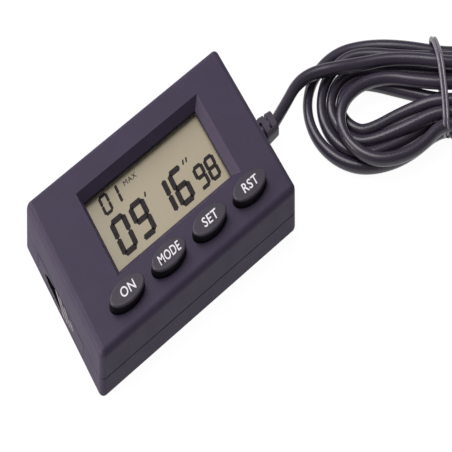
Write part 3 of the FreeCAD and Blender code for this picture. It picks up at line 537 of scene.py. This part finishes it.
# %% A value that Python arithmetic can work with
class Value:
    def __init__(self, tree, socket):
        self.tree = tree
        self.socket = socket

    def node(self, kind, settings=None, sockets=None, output=0):
        """Adds a node: first its settings, then the values or links of its sockets."""
        made = self.tree.nodes.new(kind)
        for name, value in (settings or {}).items():
            if name == "stops":
                for i, (position, colour) in enumerate(value):
                    stop = made.color_ramp.elements[i] if i < 2 else made.color_ramp.elements.new(position)
                    stop.position = position
                    stop.color = colour
            else:
                setattr(made, name, value)
        for name, value in (sockets or {}).items():
            if isinstance(value, Value):
                self.tree.links.new(value.socket, made.inputs[name])
            else:
                made.inputs[name].default_value = value
        return Value(self.tree, made.outputs[output])

    def math(self, operation, *values):
        return self.node("ShaderNodeMath", {"operation": operation}, dict(enumerate(values)))

    def __add__(self, other):
        return self.math("ADD", self, other)

    __radd__ = __add__

    def __mul__(self, other):
        return self.math("MULTIPLY", self, other)

    __rmul__ = __mul__

    def __sub__(self, other):
        return self.math("SUBTRACT", self, other)

    def __rsub__(self, other):
        return self.math("SUBTRACT", other, self)

    def above(self, edge, soft):
        """0 below edge and 1 above it, with a soft step."""
        return self.node("ShaderNodeMapRange", {"interpolation_type": "SMOOTHSTEP"},
                         {"Value": self, "From Min": edge - soft, "From Max": edge + soft})

    def noise(self, size, detail=3.0, roughness=0.5):
        """Noise whose lumps are about size mm across."""
        return self.node("ShaderNodeTexNoise", {},
                         {"Vector": self, "Scale": 1 / (size * MM), "Detail": detail, "Roughness": roughness})

    def axis(self, letter):
        return self.node("ShaderNodeSeparateXYZ", {}, {0: self}, "XYZ".index(letter))

    def mix(self, low, high):
        """A colour between two, by this value."""
        return self.node("ShaderNodeMix", {"data_type": "RGBA"}, {0: self, 6: low, 7: high}, 2)

    def bump(self, deep):
        """A normal bent by this height, whose full range is deep mm."""
        return self.node("ShaderNodeBump", {}, {"Height": self, "Distance": deep * MM, "Strength": 1.0})


def tint(red, green, blue):
    """A colour given as a screen shows it, from 0 to 255, as the light values that a shader needs."""
    parts = [c / 255 for c in (red, green, blue)]
    return (*[c / 12.92 if c < 0.04045 else ((c + 0.055) / 1.055) ** 2.4 for c in parts], 1.0)


def new_finish(name, **constants):
    """A material, its shader and the place on the piece. Each constant is set on the shader's own socket."""
    material = bpy.data.materials.new(name)
    material.use_nodes = True
    tree = material.node_tree
    shader = tree.nodes["Principled BSDF"]
    for socket, value in constants.items():
        shader.inputs[socket.replace("_", " ")].default_value = value
    place = Value(tree, tree.nodes.new("ShaderNodeTexCoord").outputs["Object"])
    return material, shader, place


def link(shader, **values):
    for socket, value in values.items():
        value.tree.links.new(value.socket, shader.inputs[socket.replace("_", " ")])


FINISHES = {}
print("the value class is ready")

# %% [markdown]
# ### Moulded plastics
# The case and the keys are injection moulded in a spark-eroded mould, which leaves a fine dull grain. One
# function makes every moulded plastic: two close colours in broad soft clouds, a fine grain that bends the
# light, and a roughness that changes a little where hands have polished it.

# %% Moulded plastics
def moulded(name, dark, light, grain, deep, rough, rough_change, **constants):
    material, shader, place = new_finish(name, **constants)
    clouds = place.noise(9.0, 4.0)
    specks = place.noise(grain, 2.0, 0.6)
    fine = place.noise(grain * 0.45, 1.0)
    link(shader, Base_Color=(clouds * 0.65 + specks * 0.35).mix(tint(*dark), tint(*light)),
         Roughness=(place.noise(5.0, 5.0) - 0.5) * rough_change + rough,
         Normal=(specks * 0.7 + fine * 0.3).bump(deep))
    return material


FINISHES["case"] = moulded("case_plastic", (43, 35, 54), (57, 48, 69), 0.22, 0.035, 0.55, 0.2,
                           Specular_IOR_Level=0.22)
FINISHES["key"] = moulded("key_plastic", (40, 34, 46), (51, 45, 57), 0.16, 0.014, 0.45, 0.2,
                          Specular_IOR_Level=0.35)
# Painted highlight: these pale colours show only on the drawer's ribs, and the rest gets the case's colour.
FINISHES["drawer"] = moulded("drawer_plastic", (104, 98, 106), (134, 128, 134), 0.3, 0.03, 0.5, 0.2,
                             Specular_IOR_Level=0.22)
FINISHES["holder"] = moulded("holder_plastic", (196, 192, 184), (214, 210, 202), 0.3, 0.02, 0.55, 0.2)
FINISHES["relief"] = moulded("relief_rubber", (48, 41, 54), (66, 58, 73), 0.3, 0.02, 0.42, 0.2)
FINISHES["rubber"] = moulded("key_rubber", (150, 146, 140), (172, 168, 160), 0.4, 0.015, 0.6, 0.15)
FINISHES["zebra"] = moulded("striped_rubber", (52, 48, 50), (190, 150, 140), 0.3, 0.01, 0.5, 0.1)
print("moulded finishes:", len(FINISHES))

# %% [markdown]
# Three of these plastics get painted light and shade by their place. On the case a painted shadow line
# stands in for the shadow of the small lip below the display's sloped frame. The keys' sides get painted
# shade, nearly black, and only their tops keep the plastic's colour. The drawer's ribs get a painted
# highlight that makes them paler than the rest of it, which has the case's colour, and the hollows between
# the ribs get painted shade. A stretch along one axis is given in mm by its middle, half its length and the
# softness of its ends.

# %% Painted shade and highlights that depend on the place
# The nearly black colour of painted shade.
SHADOW = (0.0015, 0.001, 0.003, 1)
CASE_COLOUR = (50, 42, 61)
FRAME_X, FRAME_Y = (0.8, 20.0, 0.3), (2.5, 11.2, 0.3)
SHADOW_LINE, SHADOW_STRENGTH = (9.95, 0.17, 0.08), 0.92
SIDE_SHADE_TOP, SIDE_SHADE_SOFT = 13.72, 0.10
GRIP_X, GRIP_Y, GRIP_Z = (-30.1, 0.86, 0.02), (1.4, 7.5, 0.1), (3.1, 1.77, 0.01)
HOLLOW_SHADE_START, HOLLOW_SHADE_SOFT = -30.78, 0.06


def shade(material, keep, other=SHADOW):
    """Keeps a finish's colour where keep is 1, and changes it to the other colour where keep is 0."""
    tree = material.node_tree
    shader = tree.nodes["Principled BSDF"]
    before = Value(tree, shader.inputs["Base Color"].links[0].from_socket)
    link(shader, Base_Color=keep.mix(other, before))


def place_on(material):
    tree = material.node_tree
    return Value(tree, tree.nodes["Texture Coordinate"].outputs["Object"])


def within(value, middle, half, soft):
    """1 where a length is less than half from middle, in mm, and 0 beyond."""
    off = value - middle * MM
    return 1 - off.math("ABSOLUTE", off).above(half * MM, soft * MM)


spot = place_on(FINISHES["case"])
# Painted shadow: a dark line round the inside of the display's frame, where the small lip's shadow falls.
in_frame = within(spot.axis("X"), *FRAME_X) * within(spot.axis("Y"), *FRAME_Y)
shade(FINISHES["case"], 1 - in_frame * within(spot.axis("Z"), *SHADOW_LINE) * SHADOW_STRENGTH)
spot = place_on(FINISHES["key"])
# Painted shade: below their tops the keys' sides turn nearly black.
shade(FINISHES["key"], spot.axis("Z").above(SIDE_SHADE_TOP * MM, SIDE_SHADE_SOFT * MM))
spot = place_on(FINISHES["drawer"])
depth = spot.axis("X")
in_grip = within(depth, *GRIP_X) * within(spot.axis("Y"), *GRIP_Y) * within(spot.axis("Z"), *GRIP_Z)
# Outside the grip the drawer takes the case's own colour; inside it the pale colour is a painted highlight.
shade(FINISHES["drawer"], in_grip, tint(*CASE_COLOUR))
# Painted shade in the hollows between the ribs, deeper than the rib tops.
shade(FINISHES["drawer"], 1 - in_grip * depth.above(HOLLOW_SHADE_START * MM, HOLLOW_SHADE_SOFT * MM))
print("shaded finishes: case, key and drawer")

# %% [markdown]
# ### The lead's sheath
# The sheath is soft glossy plastic. Along a cord the pattern should be streaks that the extruder drew, so
# the noise is read from the curve's own map: its first number runs along the cord, its second round it.

# %% Sheath
def sheath():
    material, shader, place = new_finish("lead_sheath", Coat_Weight=0.2, Coat_Roughness=0.25)
    uv = place.node("ShaderNodeUVMap")
    along = uv.node("ShaderNodeMapping", {}, {"Vector": uv, "Scale": (60.0, 5.0, 1.0)})
    streaks = along.node("ShaderNodeTexNoise", {}, {"Vector": along, "Scale": 1.0, "Detail": 4.0})
    dust = place.noise(0.5, 3.0)
    link(shader, Base_Color=(streaks * 0.5 + place.noise(7.0) * 0.5).mix(tint(28, 22, 36), tint(44, 35, 54)),
         Roughness=streaks * 0.12 + dust * 0.16 + 0.2,
         Normal=(streaks * 0.6 + dust * 0.4).bump(0.025))
    return material


FINISHES["lead"] = sheath()
print("sheath done")

# %% [markdown]
# ### Metals
# Rolled and drawn metals show fine lines along one direction. Noise that is stretched along one axis gives
# them, and the same lines drive colour, roughness and bump.

# %% Metals
def brushed(name, dark, light, stretch, rough, deep=0.006):
    """stretch is the size of a line in mm along X, Y and Z."""
    material, shader, place = new_finish(name, Metallic=1.0)
    scale = tuple(1 / (size * MM) for size in stretch)
    lined = place.node("ShaderNodeMapping", {}, {"Vector": place, "Scale": scale})
    lines = lined.node("ShaderNodeTexNoise", {}, {"Vector": lined, "Scale": 1.0, "Detail": 4.0})
    stain = place.noise(2.5, 4.0)
    link(shader, Base_Color=(lines * 0.6 + stain * 0.4).mix(tint(*dark), tint(*light)),
         Roughness=lines * 0.2 + stain * 0.15 + rough, Normal=lines.bump(deep))
    return material


FINISHES["steel"] = brushed("drawn_steel", (150, 152, 158), (205, 207, 212), (6.0, 0.12, 0.12), 0.12)
FINISHES["screw"] = brushed("screw_steel", (96, 98, 104), (150, 152, 158), (0.3, 0.3, 0.15), 0.2)
FINISHES["copper"] = brushed("core_copper", (178, 104, 66), (222, 150, 104), (0.15, 2.0, 0.15), 0.18)
FINISHES["cell"] = brushed("cell_steel", (168, 170, 172), (214, 216, 216), (0.2, 5.0, 0.2), 0.15)
FINISHES["probe"] = brushed("probe_steel", (158, 160, 166), (212, 214, 218), (5.0, 0.1, 0.1), 0.14)


def tie_coat():
    material, shader, place = new_finish("tie_coat", Coat_Weight=0.3, Coat_Roughness=0.2)
    scuffs = place.noise(0.8, 4.0)
    link(shader, Base_Color=scuffs.mix(tint(62, 56, 68), tint(104, 97, 110)), Roughness=scuffs * 0.3 + 0.22,
         Normal=place.noise(0.3, 2.0).bump(0.02))
    return material


FINISHES["tie"] = tie_coat()
print("metal finishes done")

# %% [markdown]
# ### The display
# The glass shows the warm grey of a reflective display with a barely visible weave of cells, and painted
# light makes it a little lighter towards -X, the side of the left lamp. The marks are almost black.
# The window in front of them is thin clear plastic, so its alpha is very low and its dark base hardly shows.

# %% Display finishes
def display_face():
    material, shader, place = new_finish("display_face", Specular_IOR_Level=0.3)
    # Painted light: a gradient that makes the glass lighter towards -X, where the left lamp stands.
    painted_light_slope = place.node("ShaderNodeMapRange", {},
                       {"Value": place.axis("X"), "From Min": -20 * MM, "From Max": 20 * MM})
    blend = painted_light_slope * 0.35 + place.noise(14.0) * 0.45 + place.noise(0.12, 1.0) * 0.2
    link(shader, Base_Color=blend.mix(tint(160, 151, 132), tint(144, 134, 113)),
         Roughness=place.noise(1.5) * 0.15 + 0.4, Normal=place.noise(0.6, 1.0).bump(0.003))
    return material


def display_ink():
    material, shader, place = new_finish("display_ink", Specular_IOR_Level=0.15)
    cells = place.noise(0.5, 3.0)
    link(shader, Base_Color=cells.mix(tint(26, 20, 21), tint(38, 30, 31)), Roughness=cells * 0.2 + 0.3,
         Normal=cells.bump(0.004))
    return material


def clear_window():
    material, shader, place = new_finish("clear_window", Alpha=0.02)
    haze = place.noise(6.0, 3.0)
    link(shader, Base_Color=haze.mix(tint(70, 70, 74), tint(90, 90, 92)), Roughness=haze * 0.1 + 0.15,
         Normal=haze.bump(0.01))
    return material


def printed_white():
    material, shader, place = new_finish("legend_print")
    worn = place.noise(0.35, 4.0)
    link(shader, Base_Color=worn.mix(tint(178, 174, 182), tint(222, 220, 226)), Roughness=worn * 0.25 + 0.4,
         Normal=worn.bump(0.012))
    return material


FINISHES["face"] = display_face()
FINISHES["ink"] = display_ink()
FINISHES["window"] = clear_window()
FINISHES["print"] = printed_white()
FINISHES["reflector"] = moulded("reflector_film", (196, 192, 178), (214, 210, 196), 0.15, 0.01, 0.3, 0.2)
print("display finishes done")

# %% [markdown]
# ### The circuit board
# Nobody sees the board while the case is shut, but it belongs to the object. Its green varnish covers copper
# tracks, which show as a lighter pattern. Brick rows, mixed with noise, look like tracks from a distance.

# %% Board, epoxy and chips
def board_finish():
    material, shader, place = new_finish("board_varnish", Coat_Weight=0.4, Coat_Roughness=0.15)
    tracks = place.node("ShaderNodeTexBrick", {"offset": 0.4},
                        {"Vector": place, "Scale": 260.0, "Mortar Size": 0.09, "Color1": (0, 0, 0, 1),
                         "Color2": (0, 0, 0, 1), "Mortar": (1, 1, 1, 1)})
    cloud = place.noise(3.0)
    link(shader, Base_Color=(tracks * 0.55 + cloud * 0.45).mix(tint(24, 84, 46), tint(66, 132, 74)),
         Roughness=cloud * 0.2 + 0.3, Normal=(tracks * 1.0).bump(0.03))
    return material


def cast_drop(name, dark, light, rough):
    material, shader, place = new_finish(name, Coat_Weight=0.5, Coat_Roughness=0.12)
    lumps = place.noise(1.2, 3.0)
    link(shader, Base_Color=lumps.mix(tint(*dark), tint(*light)), Roughness=lumps * 0.2 + rough,
         Normal=lumps.bump(0.05))
    return material


FINISHES["board"] = board_finish()
FINISHES["epoxy"] = cast_drop("epoxy_drop", (16, 15, 16), (34, 32, 34), 0.2)
FINISHES["chip"] = cast_drop("ceramic_chip", (120, 96, 70), (156, 130, 98), 0.4)
print("finishes:", len(FINISHES))

# %% [markdown]
# ## Who wears what
# A table gives every engineering node its finish. The nodes keep their shapes: only the material changes.

# %% Put every finish on
WORN_BY = {
    "case": ["front_shell", "rear_cover"], "drawer": ["battery_drawer"], "relief": ["strain_relief"],
    "window": ["display_window"], "face": ["lcd_panel"], "reflector": ["lcd_reflector"],
    "holder": ["lcd_holder"], "zebra": ["zebra_strip_upper", "zebra_strip_lower"],
    "board": ["circuit_board"], "epoxy": ["controller_blob"], "chip": ["chip_components"],
    "screw": ["case_screws", "board_screws"], "copper": ["lead_wires"], "cell": ["coin_cell"],
    "steel": ["timing_crystal", "contact_upper", "contact_lower"],
    "lead": ["cord_lead", "cord_hank", "cord_tail", "probe_sleeve"], "tie": ["twist_tie"],
    "probe": ["probe_tip"], "key": [f"button_{key}" for key in KEYS],
    "rubber": [f"return_dome_{key}" for key in KEYS],
}


def dress(piece, finish):
    piece.data.materials.clear()
    piece.data.materials.append(FINISHES[finish])


for finish, nodes in WORN_BY.items():
    for node in nodes:
        dress(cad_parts[node], finish)
for piece, finish in ((lead, "lead"), (wire_tie, "tie"), (probe_tube, "probe"), (sleeve, "relief"),
                      (display_marks, "ink"), *((legend, "print") for legend in legends.values())):
    dress(piece, finish)
print("dressed nodes:", sum(len(nodes) for nodes in WORN_BY.values()), "of", len(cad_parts))

# %% [markdown]
# ## Floor and light
# The object lies on a white table in a bright white room: a glowing floor and a pale sky soften every shadow.
# A low, slightly warm lamp at the left, a wider one behind and the widest one high above model the edges and
# draw the highlights.

# %% Floor, sky and lamps
FLOOR_SIZE, FLOOR_DROP = 6, 0.02 * MM
FLOOR_GLOW, SKY_GLOW = 0.98, 0.3


def white_floor():
    start_fresh()
    bpy.ops.mesh.primitive_plane_add(size=FLOOR_SIZE, location=(0, 0, -FLOOR_DROP))
    floor = bpy.context.object
    floor.name = "floor"
    material, shader, place = new_finish("floor_white", Roughness=0.9, Emission_Strength=FLOOR_GLOW)
    faint = place.noise(300.0, 2.0)
    link(shader, Base_Color=faint.mix(tint(60, 60, 61), tint(66, 66, 67)),
         Emission_Color=faint.mix(tint(250, 250, 250), tint(255, 255, 255)))
    floor.data.materials.append(material)
    floor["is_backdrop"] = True


def lamp(name, place, size, power, colour=(1, 1, 1)):
    """A square lamp that faces the object."""
    data = bpy.data.lights.new(name, "AREA")
    data.color = colour
    data.size = size
    data.energy = power
    light = bpy.data.objects.new(name, data)
    bpy.context.scene.collection.objects.link(light)
    light.location = place
    light.rotation_mode = "QUATERNION"
    light.rotation_quaternion = (Vector(place) - AIM).to_track_quat("Z", "Y")


white_floor()
world = bpy.data.worlds.new("sky")
world.use_nodes = True
background = world.node_tree.nodes["Background"]
background.inputs["Color"].default_value = (1, 1, 1, 1)
background.inputs["Strength"].default_value = SKY_GLOW
bpy.context.scene.world = world
lamp("left_lamp", (-0.85, 0.20, 0.22), 0.4, 8.5, (1.0, 0.93, 0.88))
lamp("back_lamp", (-0.15, 0.75, 0.55), 0.5, 4.5)
lamp("top_lamp", (-0.10, 0.30, 0.90), 0.6, 6.5)
bpy.context.scene.view_settings.view_transform = "Standard"

low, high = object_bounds()
print("finished box in mm:", [round(v / MM, 1) for v in (*low, *high)])
